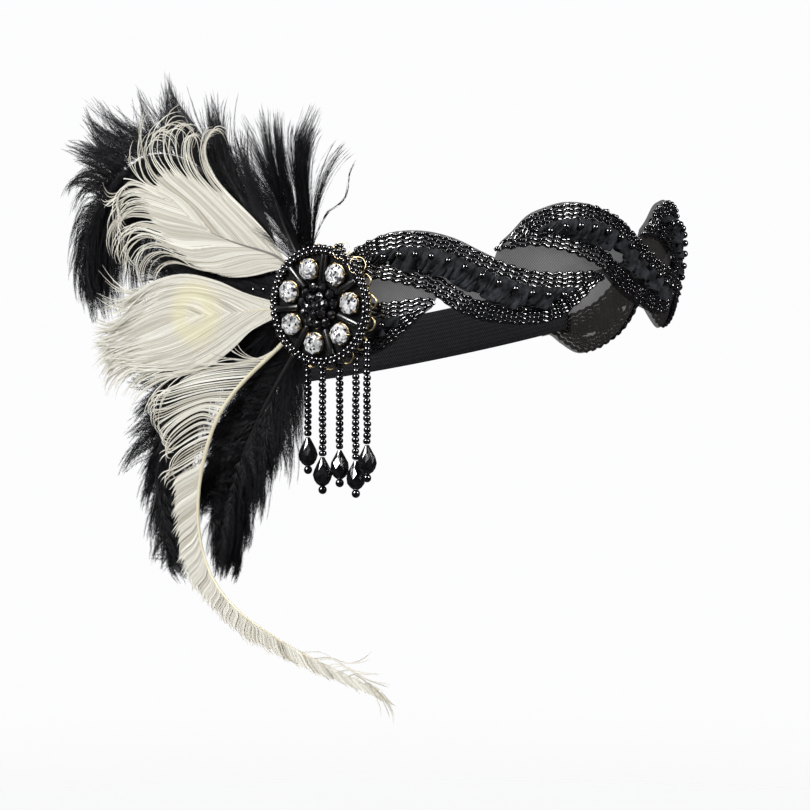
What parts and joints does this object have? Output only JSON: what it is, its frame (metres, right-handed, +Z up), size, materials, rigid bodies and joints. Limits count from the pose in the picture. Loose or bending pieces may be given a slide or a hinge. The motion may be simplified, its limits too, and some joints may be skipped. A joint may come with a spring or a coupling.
{
  "type": "flapper feather headband",
  "caption": "Beaded leaf headband on sheer mesh with an elastic back, a stone medallion at the side, hanging bead strings with cut drops and a fan of ostrich, eye and sword feathers.",
  "frame": {"origin": "middle of the head loop, where the head sits", "axes": "+Z up as worn, -Y towards the forehead, -X towards the wearer's right side, which carries the medallion and the feathers"},
  "size_m": [0.1902, 0.1979, 0.1973],
  "materials": {
    "sheer_mesh": "sheer dark grey mesh",
    "black_beads": "glossy black glass beads",
    "black_ribbon": "gathered matt ribbon",
    "elastic": "woven elastic",
    "gilt": "polished gilt",
    "crystal": "foiled cut crystal",
    "black_feather": "soft black ostrich barbs",
    "cream_feather": "silky cream barbs"
  },
  "bodies": {
    "root": {"band_backing": "sheer_mesh", "bead_string_1": "black_beads", "bead_string_2": "black_beads", "bead_string_3": "black_beads", "bead_string_4": "black_beads", "bead_string_5": "black_beads", "bugle_bead_1": "black_beads", "bugle_bead_2": "black_beads", "bugle_bead_3": "black_beads", "bugle_bead_4": "black_beads", "bugle_bead_5": "black_beads", "bugle_bead_6": "black_beads", "bugle_bead_7": "black_beads", "centre_cluster": "black_beads", "drop_1": "black_beads", "drop_2": "black_beads", "drop_3": "black_beads", "drop_4": "black_beads", "drop_5": "black_beads", "elastic_strap": "elastic", "eye_feather_lower": "cream_feather", "eye_feather_upper": "cream_feather", "lower_cord_1": "black_beads", "lower_cord_2": "black_beads", "lower_cord_3": "black_beads", "lower_cord_4": "black_beads", "lower_cord_5": "black_beads", "medallion_plate": "gilt", "plume_back": "black_feather", "plume_low": "black_feather", "plume_side": "black_feather", "plume_top": "black_feather", "rim_beads": "black_beads", "ruffle_1": "black_ribbon", "ruffle_2": "black_ribbon", "ruffle_3": "black_ribbon", "ruffle_4": "black_ribbon", "ruffle_5": "black_ribbon", "stone_1": "crystal", "stone_2": "crystal", "stone_3": "crystal", "stone_4": "crystal", "stone_5": "crystal", "stone_6": "crystal", "stone_7": "crystal", "stone_cup_1": "gilt", "stone_cup_2": "gilt", "stone_cup_3": "gilt", "stone_cup_4": "gilt", "stone_cup_5": "gilt", "stone_cup_6": "gilt", "stone_cup_7": "gilt", "sword_feather": "cream_feather", "upper_cord_1": "black_beads", "upper_cord_2": "black_beads", "upper_cord_3": "black_beads", "upper_cord_4": "black_beads", "upper_cord_5": "black_beads"}
  },
  "joints": []
}
